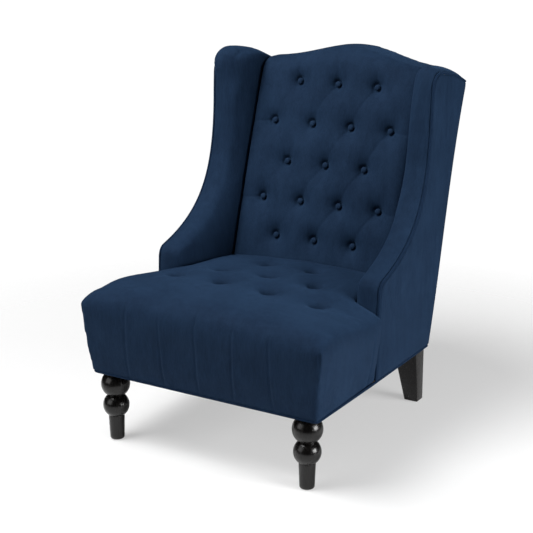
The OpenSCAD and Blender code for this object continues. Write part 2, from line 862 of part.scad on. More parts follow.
right_hand() front_leg_left();  // front_leg_right
rear_leg_left();
right_hand() rear_leg_left();  // rear_leg_right
leg_hanger_bolts();
leg_tee_nuts();
leg_glides();
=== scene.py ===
"""A high-back tufted wing chair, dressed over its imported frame.

The chair faces -Y and stands on Z = 0. Left and right are the sitter's: left is +X.
Shapes are worked out in millimetres and placed in metres.
"""

import math

import bpy
import numpy as np
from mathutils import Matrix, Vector, noise


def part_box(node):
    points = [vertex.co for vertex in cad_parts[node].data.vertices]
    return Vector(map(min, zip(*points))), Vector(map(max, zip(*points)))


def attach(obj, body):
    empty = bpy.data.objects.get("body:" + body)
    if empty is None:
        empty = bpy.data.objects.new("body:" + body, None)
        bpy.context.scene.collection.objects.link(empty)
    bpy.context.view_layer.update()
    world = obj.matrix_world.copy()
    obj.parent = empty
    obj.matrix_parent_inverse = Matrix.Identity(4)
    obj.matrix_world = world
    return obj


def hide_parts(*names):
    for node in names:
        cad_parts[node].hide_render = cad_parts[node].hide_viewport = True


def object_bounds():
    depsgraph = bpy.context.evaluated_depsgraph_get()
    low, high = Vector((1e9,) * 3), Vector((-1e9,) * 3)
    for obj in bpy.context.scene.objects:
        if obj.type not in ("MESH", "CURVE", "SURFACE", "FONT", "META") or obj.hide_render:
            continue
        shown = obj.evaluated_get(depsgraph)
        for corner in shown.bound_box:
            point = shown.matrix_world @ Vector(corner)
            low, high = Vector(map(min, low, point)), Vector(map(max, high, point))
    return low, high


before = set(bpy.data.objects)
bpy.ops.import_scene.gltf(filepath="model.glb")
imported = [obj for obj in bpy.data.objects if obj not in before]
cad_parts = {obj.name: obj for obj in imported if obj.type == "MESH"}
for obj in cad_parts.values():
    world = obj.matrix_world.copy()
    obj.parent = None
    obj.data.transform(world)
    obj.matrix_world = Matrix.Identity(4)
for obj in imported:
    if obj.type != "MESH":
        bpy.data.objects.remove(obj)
cad_low, cad_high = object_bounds()
MM = 0.001


def side_mm(node, end, axis):
    """One face of a CAD node's box in millimetres; end 0 is the low side, 1 the high side."""
    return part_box(node)[end][axis] / MM


# ---------- main sizes, from the frame ----------

X, Y, Z = 0, 1, 2
crest_top = cad_high.z / MM
front_y = side_mm("seat_cover", 0, Y)
rear_y = -front_y
base_z = side_mm("seat_front_rail", 0, Z)
side_x = side_mm("side_panel_left", 1, X)
ply_x = side_mm("side_panel_left", 0, X)
wing_x = side_mm("wing_cover_left", 0, X)
seat_x = side_mm("seat_cover", 1, X)
rail_x = side_mm("seat_rail_left", 1, X)
rail_front = side_mm("seat_front_rail", 0, Y)
deck_z = side_mm("seat_insulator", 1, Z)
panel_t = side_x - ply_x
fit_gap = 0.4
welt_d = panel_t + fit_gap
cover_low = base_z + panel_t + fit_gap
base_tuck = 18.5
front_tuck = 23

# Back: the plane of the buttons, the stuffing and the crest
back_rake = 0.31
back_bow = 2.5
tuft_depth = 34
back_low = 376
back_half = 254
crest_rise = 46
crest_roll = 25
crest_lean = 13
shoulder_half = wing_x + 26
button_d = 20
dome_h = 6.2
button_pitch = 122
button_rows = 5

# Arms and wings
arm_front = front_y + 338
arm_h = 460
arm_shoulder = 425
wing_front = rear_y - 250
wing_top = crest_top - 36
wing_rear_z = crest_top - 79
scoop_top = crest_top - 125
wing_crown = 14
wing_cut = 26
wing_round = 14

# Seat
roll_r = 62
roll_z = 378
roll_top = 438
seat_peak = (-176, 446)
seat_end = 421
seat_crown = 72
ear_fall = 27
corner_fall = 6
seat_rear = side_mm("seat_cover", 1, Y)
tuft_x = 142
tuft_y = 120
front_tufts = 4
first_tuft = front_y + 243
seat_low = base_z + 2
swell_frames = 20

# Rear legs, as (width, depth)
foot_size = (41, 37)
head_size = (68, 55)

# ---------- lines of the chair ----------


def bez2(a, b, c, t):
    a, b, c = np.asarray(a, float), np.asarray(b, float), np.asarray(c, float)
    return a * (1 - t) ** 2 + b * 2 * t * (1 - t) + c * t * t


def bez3(a, b, c, d, t):
    a, b, c, d = (np.asarray(v, float) for v in (a, b, c, d))
    return a * (1 - t) ** 3 + b * 3 * t * (1 - t) ** 2 + c * 3 * t * t * (1 - t) + d * t**3


def smooth(t):
    """0 below 0, 1 above 1, and an easy rise between."""
    t = np.clip(t, 0, 1)
    return t * t * (3 - 2 * t)


def back_line(z):
    """Depth of the outside back at height z: a gentle S from the base to the crest."""
    t = (z - base_z) / (crest_top - base_z)
    return bez3(rear_y - 220, rear_y - 138, rear_y - 114, rear_y + 11, t)


def button_plane(z):
    """Depth of the backs of the buttons at height z."""
    up = z - (crest_top - 385)
    return rear_y - 218 + back_rake * up + back_bow * (up / 200) ** 2


def back_face(z):
    """Depth of the stuffed face between the buttons at height z."""
    return button_plane(z) - tuft_depth


def crest_z(x):
    """Height of the crest: a round middle that falls to flat shoulders."""
    x = x - crest_lean * (1 - np.minimum(np.abs(x) / shoulder_half, 1) ** 2)
    across = np.minimum(np.abs(x) / shoulder_half, 1)
    return crest_top - crest_rise * (1 - np.cos(math.pi * across)) / 2 - 3 * np.sin(math.pi * across) ** 2


def wing_inside(y, z):
    """Half width between the wings; they thicken from their front edge to the back."""
    rise = WING_LINE[: int(np.argmax(WING_LINE[:, 1])) + 1]
    front = np.interp(z, rise[:, 1], rise[:, 0])
    return wing_x + 5 - 18 * smooth((y - front) / np.maximum(back_face(z) - front, 60))


def arm_front_y(z):
    """Depth of the arm's front edge, which leans forward a little to the base."""
    return arm_front - 11 + 11 * np.minimum((z - base_z) / (arm_shoulder - base_z), 1)


def wing_edge(inset, low, up=0.0, finer=1):
    """Front and top edge of the arm and wing as (y, z) points, from height low to the rear."""
    push = np.array([inset, -inset])
    nose = [arm_front + 18, arm_h]
    scoop = [nose, [arm_front + 213, arm_h + 57], [wing_front - 3, scoop_top - 238], [wing_front, scoop_top]]
    top_front = [wing_front + 41, wing_top]
    corner = [wing_front + 2, crest_top - 80], [wing_front + 4, wing_top - 2], top_front
    rear = [back_line(wing_rear_z) - panel_t - fit_gap, wing_rear_z]
    points = [[arm_front_y(low) + inset, low]]
    points += [[arm_front_y(z) + inset, z] for z in np.linspace(low, arm_shoulder, 8)[1:-1]]
    for s in np.linspace(0, 1, 5 * finer):
        points.append(bez2([arm_front, arm_shoulder], [arm_front, arm_h - 8], nose, s) + push)
    for s in np.linspace(0.06, 1, 16 * finer):
        points.append(bez3(*scoop, s) + push)
    for s in np.linspace(0.05, 1, 7 * finer):
        points.append(bez2(*corner, s) + [inset, up * min(s * 2, 1) - inset])
    for s in np.linspace(0.12, 1, 6 * finer):
        points.append(bez2(top_front, [wing_front + 150, wing_top - 12], rear, s) + [0, up - inset])
    return np.array(points, float)


# The arm and wing's own line, which the inner face follows in wing_inside
WING_LINE = wing_edge(0, cover_low)


def wing_outline(inset, low, up=0.0):
    """The whole side outline of an arm and wing, closed along the outside back."""
    edge = wing_edge(inset, low, up)
    z = np.linspace(edge[-1, 1] - 6, low, 16)
    return np.concatenate([edge, np.stack([back_line(z) - panel_t - fit_gap, z], -1)])


def along(points, share):
    """The points at the given shares of a line's length."""
    points = np.asarray(points, float)
    step = np.linalg.norm(np.diff(points, axis=0), axis=1)
    run = np.concatenate([[0], np.cumsum(step)]) / step.sum()
    return np.stack([np.interp(share, run, points[:, k]) for k in range(points.shape[1])], -1)


def button_places():
    """Rows of three and four buttons from the crest down, as (x, z, row)."""
    places = []
    for row in range(button_rows):
        z = crest_top - 105 - 113 * row + 1.8 * row * row
        count = 3 + row % 2
        places += [((k - (count - 1) / 2) * button_pitch, z, row) for k in range(count)]
    return places


def seat_tufts():
    """Rows of four, three and two blind tufts from the front back, as (x, y)."""
    return [
        ((k - (front_tufts - 1 - i) / 2) * tuft_x, first_tuft + i * tuft_y)
        for i in range(3) for k in range(front_tufts - i)
    ]


# ---------- making and shaping meshes ----------


def deselect():
    bpy.ops.object.select_all(action="DESELECT")


def only(obj):
    deselect()
    obj.select_set(True)
    bpy.context.view_layer.objects.active = obj


def named(name):
    obj = bpy.context.object
    obj.name = name
    obj.data.name = name
    return obj


def edit(obj):
    only(obj)
    bpy.ops.object.mode_set(mode="EDIT")
    bpy.ops.mesh.select_all(action="SELECT")


def done():
    bpy.ops.object.mode_set(mode="OBJECT")


def points_of(obj):
    """A mesh's points in millimetres."""
    flat = np.empty(len(obj.data.vertices) * 3)
    obj.data.vertices.foreach_get("co", flat)
    return flat.reshape(-1, 3) / MM


def put_points(obj, points):
    obj.data.vertices.foreach_set("co", (np.asarray(points) * MM).ravel())
    obj.data.update()


def normals_of(obj):
    flat = np.empty(len(obj.data.vertices) * 3)
    obj.data.vertices.foreach_get("normal", flat)
    return flat.reshape(-1, 3)


def apply(obj, kind, **settings):
    only(obj)
    change = obj.modifiers.new(kind.title(), kind)
    for key, value in settings.items():
        setattr(change, key, value)
    bpy.ops.object.modifier_apply(modifier=change.name)


def outwards(obj):
    """Merges doubled points and turns every face outwards."""
    edit(obj)
    bpy.ops.mesh.remove_doubles(threshold=0.01 * MM)
    bpy.ops.mesh.normals_make_consistent(inside=False)
    done()


def rounded_look(obj, angle):
    only(obj)
    bpy.ops.object.shade_smooth_by_angle(angle=math.radians(angle))


def block(name, cuts, rule):
    """A finely divided cube, with rule(u, v, w) giving the place of each point from -1 to 1."""
    deselect()
    bpy.ops.mesh.primitive_cube_add(size=2)
    obj = named(name)
    edit(obj)
    bpy.ops.mesh.subdivide(number_cuts=cuts)
    done()
    u, v, w = (points_of(obj) * MM).T
    put_points(obj, np.stack(rule(u, v, w), -1))
    return obj


def skin(name, rings):
    """A closed skin through rings of points, with flat ends."""
    rings = np.asarray(rings, float)
    rows, count = rings.shape[:2]
    deselect()
    bpy.ops.mesh.primitive_grid_add(x_subdivisions=count, y_subdivisions=rows - 1, size=1)
    obj = named(name)
    put_points(obj, np.concatenate([rings, rings[:, :1]], axis=1).reshape(-1, 3))
    edit(obj)
    bpy.ops.mesh.remove_doubles(threshold=0.01 * MM)
    bpy.ops.mesh.fill_holes(sides=0)
    bpy.ops.mesh.normals_make_consistent(inside=False)
    done()
    return obj


def cord_along(name, points, d, closed=False):
    """A round cord of diameter d along a line of points."""
    deselect()
    line = bpy.data.curves.new(name, "CURVE")
    line.dimensions = "3D"
    line.bevel_depth = d / 2 * MM
    line.bevel_resolution = 3
    line.use_fill_caps = not closed
    run = line.splines.new("POLY")
    run.points.add(len(points) - 1)
    for spot, place in zip(run.points, points):
        spot.co = (*(np.asarray(place) * MM), 1)
    run.use_cyclic_u = closed
    obj = bpy.data.objects.new(name, line)
    bpy.context.scene.collection.objects.link(obj)
    only(obj)
    bpy.ops.object.convert(target="MESH")
    obj = bpy.context.object
    obj.data.name = name
    outwards(obj)
    rounded_look(obj, 60)
    return obj


def mirrored(obj, name):
    """The right hand copy of a left hand piece."""
    twin = obj.copy()
    twin.data = obj.data.copy()
    twin.name = name
    twin.data.name = name
    for key in list(twin.keys()):
        del twin[key]
    bpy.context.scene.collection.objects.link(twin)
    points = points_of(twin)
    points[:, 0] *= -1
    put_points(twin, points)
    edit(twin)
    bpy.ops.mesh.flip_normals()
    done()
    return twin


def carve(obj, tool):
    """Cuts the room that a tool fills out of a piece, and removes the tool."""
    only(obj)
    cut = obj.modifiers.new("Room", "BOOLEAN")
    cut.operation = "DIFFERENCE"
    cut.solver = "MANIFOLD"
    cut.object = tool
    bpy.ops.object.modifier_apply(modifier=cut.name)
    bpy.data.objects.remove(tool)


def remesh(obj, voxel):
    apply(obj, "REMESH", mode="VOXEL", voxel_size=voxel * MM, use_smooth_shade=True)
    apply(obj, "SMOOTH", factor=0.5, iterations=3)


def swell(obj, held, cap):
    """Lets the stuffing press the cover out, held where held is 1, and no point by more than cap."""
    before = points_of(obj)
    group = obj.vertex_groups.new(name="held")
    level = np.round(np.clip(held, 0, 1) * 10).astype(int)
    for k in range(1, 11):
        group.add(np.nonzero(level == k)[0].tolist(), k / 10, "REPLACE")
    only(obj)
    cloth = obj.modifiers.new("Cloth", "CLOTH")
    cloth.settings.quality = 4
    cloth.settings.mass = 0.3
    cloth.settings.use_pressure = True
    cloth.settings.uniform_pressure_force = 4
    cloth.settings.vertex_group_mass = "held"
    cloth.settings.effector_weights.gravity = 0
    cloth.collision_settings.use_collision = False
    cloth.collision_settings.use_self_collision = False
    cloth.point_cache.frame_end = swell_frames
    for number in range(1, swell_frames + 1):
        bpy.context.scene.frame_set(number)
    bpy.ops.object.modifier_apply(modifier=cloth.name)
    bpy.context.scene.frame_set(1)
    obj.vertex_groups.clear()
    move = points_of(obj) - before
    far = np.linalg.norm(move, axis=1)
    put_points(obj, before + move * np.minimum(1, cap / np.maximum(far, 1e-6))[:, None])


def finer(obj):
    apply(obj, "SUBSURF", levels=1, render_levels=1)


def press(obj, rule):
    """Moves each point along its normal by rule(x, y, z, normal), in millimetres."""
    points, normal = points_of(obj), normals_of(obj)
    depth = rule(*points.T, normal)
    put_points(obj, points + normal * depth[:, None])


def off_line(px, pz, line):
    """Distance of each point to a line, the side it lies on, and how far along it is."""
    line = np.asarray(line, float)
    best = np.full(px.shape, 1e9)
    side = np.zeros(px.shape)
    where = np.zeros(px.shape)
    for k in range(len(line) - 1):
        a, b = line[k], line[k + 1]
        d = b - a
        t = np.clip(((px - a[0]) * d[0] + (pz - a[1]) * d[1]) / (d @ d), 0, 1)
        ox, oz = px - a[0] - t * d[0], pz - a[1] - t * d[1]
        gap = np.hypot(ox, oz)
        near = gap < best
        best = np.where(near, gap, best)
        side = np.where(near, np.sign(d[0] * oz - d[1] * ox), side)
        where = np.where(near, (k + t) / (len(line) - 1), where)
    return best, side, where


# ---------- materials ----------


def node_group(name, inputs, outputs):
    group = bpy.data.node_groups.new(name, "ShaderNodeTree")
    for label, kind, value in inputs:
        socket = group.interface.new_socket(label, in_out="INPUT", socket_type=kind)
        socket.default_value = value
    for label, kind in outputs:
        group.interface.new_socket(label, in_out="OUTPUT", socket_type=kind)
    return group, group.nodes.new("NodeGroupInput"), group.nodes.new("NodeGroupOutput")


class Nodes:
    """Adds and links nodes in one tree."""

    def __init__(self, tree):
        self.tree = tree

    def add(self, kind, **settings):
        node = self.tree.nodes.new("ShaderNode" + kind)
        for key, value in settings.items():
            setattr(node, key, value)
        return node

    def link(self, source, target):
        self.tree.links.new(source, target)

    def math(self, operation, a, b=0.0, clamp=False):
        node = self.add("Math", operation=operation, use_clamp=clamp)
        for socket, value in zip(node.inputs, (a, b)):
            if isinstance(value, (int, float)):
                socket.default_value = value
            else:
                self.link(value, socket)
        return node.outputs[0]

    def mix(self, factor, a, b):
        """Mixes two colours; the colour sockets of the Mix node are its inputs 6 and 7."""
        node = self.add("Mix", data_type="RGBA")
        for socket, value in ((node.inputs[0], factor), (node.inputs[6], a), (node.inputs[7], b)):
            if isinstance(value, (int, float)):
                socket.default_value = value
            elif isinstance(value, tuple):
                socket.default_value = (*value, 1)
            else:
                self.link(value, socket)
        return node.outputs[2]

    def noise(self, vector, scale, detail=2.0, rough=0.5):
        node = self.add("TexNoise")
        node.inputs["Scale"].default_value = scale
        node.inputs["Detail"].default_value = detail
        node.inputs["Roughness"].default_value = rough
        self.link(vector, node.inputs["Vector"])
        return node.outputs["Fac"]

    def stretch(self, vector, scale):
        node = self.add("Mapping")
        node.inputs["Scale"].default_value = scale
        self.link(vector, node.inputs["Vector"])
        return node.outputs["Vector"]

    def ramp(self, value, low, high):
        node = self.add("MapRange", clamp=True)
        node.inputs["From Min"].default_value = low
        node.inputs["From Max"].default_value = high
        self.link(value, node.inputs["Value"])
        return node.outputs["Result"]


def weave_group():
    """Threads over and under on the plane that each part of the surface faces most."""
    group, given, result = node_group(
        "Weave",
        [("Pitch", "NodeSocketFloat", 0.0012), ("Turn", "NodeSocketFloat", 0.0)],
        [("Height", "NodeSocketFloat"), ("Over", "NodeSocketFloat")],
    )
    n = Nodes(group)
    place = n.add("TexCoord")
    facing = n.add("SeparateXYZ")
    n.link(place.outputs["Normal"], facing.inputs[0])
    spin = n.add("VectorRotate", rotation_type="AXIS_ANGLE")
    spin.inputs["Axis"].default_value = (0.577, 0.577, 0.577)
    n.link(place.outputs["Object"], spin.inputs["Vector"])
    n.link(given.outputs["Turn"], spin.inputs["Angle"])
    spot = n.add("SeparateXYZ")
    n.link(spin.outputs[0], spot.inputs[0])
    rate = n.math("DIVIDE", math.tau, given.outputs["Pitch"])
    waves = [n.math("SINE", n.math("MULTIPLY", spot.outputs[k], rate)) for k in range(3)]
    weights = [n.math("POWER", n.math("ABSOLUTE", facing.outputs[k]), 6.0) for k in range(3)]
    total = n.math("ADD", n.math("ADD", weights[0], weights[1]), n.math("ADD", weights[2], 0.0001))
    height = None
    for k in range(3):
        threads = n.math("MULTIPLY", waves[(k + 1) % 3], waves[(k + 2) % 3])
        share = n.math("MULTIPLY", threads, n.math("DIVIDE", weights[k], total))
        height = share if height is None else n.math("ADD", height, share)
    height = n.math("ADD", n.math("MULTIPLY", height, 0.5), 0.5)
    n.link(height, result.inputs["Height"])
    n.link(n.ramp(height, 0.3, 0.7), result.inputs["Over"])
    return group


def nap_group():
    """Brushed streaks down the cloth and soft patches where the pile lies another way."""
    group, _, result = node_group(
        "Nap", [], [("Streak", "NodeSocketFloat"), ("Patch", "NodeSocketFloat")]
    )
    n = Nodes(group)
    place = n.add("TexCoord").outputs["Object"]
    fine = n.noise(n.stretch(place, (1, 1, 0.09)), 420, 3, 0.6)
    broad = n.noise(n.stretch(place, (1, 1, 0.2)), 60, 3, 0.55)
    streak = n.math("ADD", n.math("MULTIPLY", fine, 0.6), n.math("MULTIPLY", broad, 0.4))
    n.link(streak, result.inputs["Streak"])
    n.link(n.noise(place, 9, 4, 0.55), result.inputs["Patch"])
    return group


def grain_group():
    """Long wood grain along Z with darker pores."""
    group, given, result = node_group(
        "Grain",
        [("Stretch", "NodeSocketFloat", 0.06)],
        [("Line", "NodeSocketFloat"), ("Pore", "NodeSocketFloat")],
    )
    n = Nodes(group)
    place = n.add("TexCoord").outputs["Object"]
    length = n.add("CombineXYZ")
    length.inputs[0].default_value = 1
    length.inputs[1].default_value = 1
    n.link(given.outputs["Stretch"], length.inputs[2])
    scaled = n.add("VectorMath", operation="MULTIPLY")
    n.link(place, scaled.inputs[0])
    n.link(length.outputs[0], scaled.inputs[1])
    n.link(n.noise(scaled.outputs[0], 90, 5, 0.6), result.inputs["Line"])
    pore = n.noise(scaled.outputs[0], 700, 2, 0.5)
    n.link(n.ramp(pore, 0.62, 0.72), result.inputs["Pore"])
    return group


WEAVE = weave_group()
NAP = nap_group()
GRAIN = grain_group()


def material(name):
    made = bpy.data.materials.new(name)
    made.use_nodes = True
    n = Nodes(made.node_tree)
    return made, n, made.node_tree.nodes["Principled BSDF"]


def use_group(n, group, **values):
    node = n.add("Group")
    node.node_tree = group
    for key, value in values.items():
        node.inputs[key].default_value = value
    return node


def bump(n, shader, height, distance, strength):
    node = n.add("Bump")
    node.inputs["Strength"].default_value = strength
    node.inputs["Distance"].default_value = distance
    n.link(height, node.inputs["Height"])
    n.link(node.outputs[0], shader.inputs["Normal"])


def brushed_cloth(name, deep, light, pitch, turn=0.0):
    """Cloth with a fine weave under a brushed nap."""
    made, n, shader = material(name)
    weave = use_group(n, WEAVE, Pitch=pitch, Turn=turn)
    nap = use_group(n, NAP)
    streaks = n.math("MULTIPLY", n.ramp(nap.outputs["Streak"], 0.36, 0.64), 0.55)
    patches = n.math("MULTIPLY", n.ramp(nap.outputs["Patch"], 0.38, 0.62), 0.25)
    threads = n.math("MULTIPLY", weave.outputs["Over"], 0.2)
    tone = n.math("ADD", n.math("ADD", streaks, patches), threads, clamp=True)
    n.link(n.mix(tone, deep, light), shader.inputs["Base Color"])
    shine = n.math("MULTIPLY", nap.outputs["Streak"], 0.18)
    n.link(n.math("SUBTRACT", 0.93, shine), shader.inputs["Roughness"])
    height = n.math("ADD", n.math("MULTIPLY", weave.outputs["Height"], 0.6), nap.outputs["Streak"])
    bump(n, shader, height, 0.0005, 0.6)
    shader.inputs["Sheen Weight"].default_value = 0.08
    shader.inputs["Sheen Roughness"].default_value = 0.45
    shader.inputs["Sheen Tint"].default_value = (0.20, 0.45, 0.90, 1)
    shader.inputs["Specular IOR Level"].default_value = 0.08
    return made


def wood(name, deep, light, gloss, coat=0.0, shine=0.5):
    """Grained wood; gloss is its roughness, coat and shine are its lacquer."""
    made, n, shader = material(name)
    grain = use_group(n, GRAIN, Stretch=0.06)
    tone = n.ramp(grain.outputs["Line"], 0.35, 0.65)
    colour = n.mix(tone, deep, light)
    colour = n.mix(n.math("MULTIPLY", grain.outputs["Pore"], 0.5), colour, tuple(c * 0.5 for c in deep))
    n.link(colour, shader.inputs["Base Color"])
    n.link(n.math("ADD", gloss, n.math("MULTIPLY", tone, 0.12)), shader.inputs["Roughness"])
    bump(n, shader, n.math("SUBTRACT", grain.outputs["Line"], grain.outputs["Pore"]), 0.0002, 0.5)
    shader.inputs["Coat Weight"].default_value = coat
    shader.inputs["Coat Roughness"].default_value = 0.12
    shader.inputs["Specular IOR Level"].default_value = shine
    return made


def mottled(name, deep, light, scale, rough, metal=0.0, relief=0.0003):
    """A plain stuff with its own grain: foam, felt, steel or plastic."""
    made, n, shader = material(name)
    place = n.add("TexCoord").outputs["Object"]
    fac = n.noise(place, scale, 4, 0.6)
    n.link(n.mix(n.ramp(fac, 0.3, 0.7), deep, light), shader.inputs["Base Color"])
    n.link(n.math("ADD", rough, n.math("MULTIPLY", fac, 0.1)), shader.inputs["Roughness"])
    shader.inputs["Metallic"].default_value = metal
    bump(n, shader, fac, relief, 0.5)
    return made


def plain_weave(name, deep, light, pitch):
    made, n, shader = material(name)
    weave = use_group(n, WEAVE, Pitch=pitch, Turn=0.0)
    n.link(n.mix(weave.outputs["Over"], deep, light), shader.inputs["Base Color"])
    worn = n.math("MULTIPLY", weave.outputs["Over"], 0.08)
    n.link(n.math("SUBTRACT", 0.95, worn), shader.inputs["Roughness"])
    bump(n, shader, weave.outputs["Height"], 0.0004, 0.6)
    return made


navy = brushed_cloth("navy_fabric", (0.0044, 0.0130, 0.0320), (0.0112, 0.0280, 0.0620), 0.0013)
welt_navy = brushed_cloth(
    "welt_fabric", (0.0034, 0.0110, 0.0290), (0.0068, 0.0200, 0.0480), 0.0011, turn=math.radians(45)
)
espresso = wood(
    "espresso_wood", (0.0012, 0.0010, 0.0010), (0.0030, 0.0024, 0.0022), gloss=0.2, coat=0.15, shine=0.3
)
beech = wood("beech", (0.42, 0.26, 0.13), (0.62, 0.43, 0.24), 0.55)
plywood = wood("plywood", (0.50, 0.35, 0.20), (0.70, 0.53, 0.33), 0.6)
foam = mottled("foam", (0.72, 0.66, 0.46), (0.88, 0.83, 0.64), 900, 0.85)
felt = mottled("felt", (0.20, 0.20, 0.19), (0.34, 0.34, 0.32), 400, 0.9)
steel = mottled("steel", (0.40, 0.41, 0.42), (0.62, 0.63, 0.65), 300, 0.3, 1.0, 0.0001)
glide_plastic = mottled("glide_plastic", (0.010, 0.010, 0.011), (0.022, 0.022, 0.023), 500, 0.45)
webbing = plain_weave("webbing", (0.20, 0.14, 0.07), (0.45, 0.35, 0.20), 0.003)
dust_cloth = plain_weave("dust_cloth", (0.006, 0.006, 0.007), (0.020, 0.020, 0.022), 0.0016)

FRAME_FINISH = {
    "seat_springs": steel, "spring_clips": steel, "corner_block_screws": steel,
    "leg_hanger_bolts": steel, "leg_tee_nuts": steel, "dust_cover_staples": steel,
    "seat_insulator": felt, "back_insulator": felt, "back_webbing": webbing,
    "seat_tuft_ties": webbing, "back_button_ties": webbing, "leg_glides": glide_plastic,
    "wing_frame_left": plywood, "wing_frame_right": plywood,
}


def wear(obj, finish):
    obj.data.materials.clear()
    obj.data.materials.append(finish)


def dress_frame():
    """Gives the frame under the covers its own finishes."""
    for name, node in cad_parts.items():
        wear(node, FRAME_FINISH.get(name, beech))


# ---------- light, floor and camera ----------


def camera():
    """A three-quarter view from the sitter's left, a little above the arms."""
    azimuth, pitch, distance = math.radians(30.88), math.radians(16.58), 3.52111
    aim = Vector((-0.05424, 0.005, 0.41617))
    back = Vector((
        math.sin(azimuth) * math.cos(pitch), -math.cos(azimuth) * math.cos(pitch), math.sin(pitch)
    ))
    lens = bpy.data.cameras.new("camera")
    lens.lens = 86.85
    lens.sensor_width = 36
    lens.clip_end = 100
    eye = bpy.data.objects.new("camera", lens)
    eye.location = aim + back * distance
    eye.rotation_euler = back.to_track_quat("Z", "Y").to_euler()
    bpy.context.scene.collection.objects.link(eye)
    bpy.context.scene.camera = eye


def soft_light(name, place, size, power):
    """A rectangular lamp that faces the middle of the chair."""
    aim = Vector((0, 0, 0.45))
    lamp = bpy.data.lights.new(name, "AREA")
    lamp.shape = "RECTANGLE"
    lamp.size, lamp.size_y = size
    lamp.energy = power
    obj = bpy.data.objects.new(name, lamp)
    obj.location = place
    obj.rotation_euler = (Vector(place) - aim).to_track_quat("Z", "Y").to_euler()
    bpy.context.scene.collection.objects.link(obj)


def lights():
    soft_light("overhead", (-0.9, -1.1, 2.9), (1.8, 1.6), 112)
    soft_light("from_left_hand", (3.0, -0.1, 0.9), (1.4, 1.2), 94)
    soft_light("front_fill", (-1.8, -3.0, 1.6), (2.4, 2.0), 30)


def surroundings():
    """Even white all round, dimmer where it lights the chair than where it is seen."""
    world = bpy.data.worlds.new("studio")
    bpy.context.scene.world = world
    world.use_nodes = True
    n = Nodes(world.node_tree)
    sky = world.node_tree.nodes["Background"]
    seen = n.add("LightPath").outputs["Is Camera Ray"]
    n.link(n.math("ADD", 0.045, n.math("MULTIPLY", seen, 0.975)), sky.inputs["Strength"])
    sky.inputs["Color"].default_value = (1, 1, 1, 1)


def floor():
    """A pale floor that fades into the white surroundings away from the chair."""
    deselect()
    bpy.ops.mesh.primitive_circle_add(vertices=96, radius=4.5, fill_type="NGON")
    ground = named("floor")
    made, n, shader = material("pale_floor")
    place = n.add("TexCoord").outputs["Object"]
    n.link(n.mix(n.noise(place, 40, 4), (0.86, 0.86, 0.86), (0.88, 0.88, 0.88)), shader.inputs["Base Color"])
    shader.inputs["Roughness"].default_value = 0.75
    shader.inputs["Specular IOR Level"].default_value = 0.1
    away = n.add("VectorMath", operation="LENGTH")
    n.link(place, away.inputs[0])
    clear = n.ramp(away.outputs["Value"], 0.75, 1.7)
    gone = n.add("BsdfTransparent")
    glow = n.add("Emission")
    lit = n.add("MixShader")
    n.link(n.math("MULTIPLY", n.add("LightPath").outputs["Is Camera Ray"], 0.42), lit.inputs[0])
    n.link(shader.outputs[0], lit.inputs[1])
    n.link(glow.outputs[0], lit.inputs[2])
    both = n.add("MixShader")
    n.link(clear, both.inputs[0])
    n.link(lit.outputs[0], both.inputs[1])
    n.link(gone.outputs[0], both.inputs[2])
    n.link(both.outputs[0], made.node_tree.nodes["Material Output"].inputs["Surface"])
    wear(ground, made)


# ---------- seat ----------


def seat_profiles():
    """Side line of the seat from the roll back, and its front line from the edge in."""
    side = [(front_y + roll_r + roll_r * math.cos(a), roll_z + roll_r * math.sin(a))
            for a in np.linspace(math.pi, math.radians(95), 14)]
    top_points = [front_y + roll_r, roll_top], seat_peak, [seat_rear, seat_end]
    top = [bez2(*top_points, s) for s in np.linspace(0.04, 1, 16)]
    edge_points = [seat_x, roll_z], [seat_x, roll_z + 45], [seat_x - 56, roll_z + 54], [seat_x - 206, 440]
    edge = [bez3(*edge_points, s) for s in np.linspace(0, 1, 24)]
    return np.array(side + top), np.array(edge + [[0, roll_z + seat_crown]])


SEAT_SIDE, SEAT_EDGE = seat_profiles()


def seat_height(x, y):
    """Height of the seat's top over the roll line; it sinks beside the arms and leans a little."""
    rise = np.interp(y, SEAT_SIDE[:, 0], SEAT_SIDE[:, 1]) - roll_z
    spread = np.interp(-np.abs(x), -SEAT_EDGE[:, 0], SEAT_EDGE[:, 1]) - roll_z
    sides = smooth((np.abs(x) - 205) / 140) * smooth((y - arm_front + 235) / 200)
    corners = smooth((np.abs(x) - 120) / 130) * smooth((y - arm_front - 120) / 130)
    lean = 0.012 + 0.022 * smooth((y - front_y - 60) / 120) - 0.050 * smooth((y - arm_front + 110) / 200)
    crowned = rise * np.clip(spread / seat_crown, 0, 1) ** 0.75
    return crowned - ear_fall * sides - corner_fall * corners - lean * x


def edge_drop(distance, radius):
    """How far a rounded edge falls at a distance from its side."""
    inside = np.clip(radius - distance, 0, radius)
    return radius - np.sqrt(radius**2 - inside**2)


def seat_front_block(u, v, w):
    """The wide front of the seat, from its rolled front edge back to the arms."""
    x = along(SEAT_EDGE[::-1], np.abs(u))[:, 0] * np.sign(u)
    line = SEAT_SIDE[SEAT_SIDE[:, 0] < arm_front]
    y = along(np.concatenate([line, [[arm_front - 1, line[-1, 1]]]]), (v + 1) / 2)[:, 0]
    top = roll_z + seat_height(x, y) - edge_drop(arm_front - 1 - y, 10)
    z = seat_low + (top - seat_low) * (w + 1) / 2
    up = np.clip((z - cover_low) / (roll_z - cover_low), 0, 1)
    x = x * (1 - (1 - up) * base_tuck / seat_x)
    first = bez2(front_y + front_tuck, front_y + 4, front_y, up)
    last = arm_front_y(z) + 5
    share = (y - front_y) / (arm_front - 1 - front_y)
    return x, first + share * (last - first), z


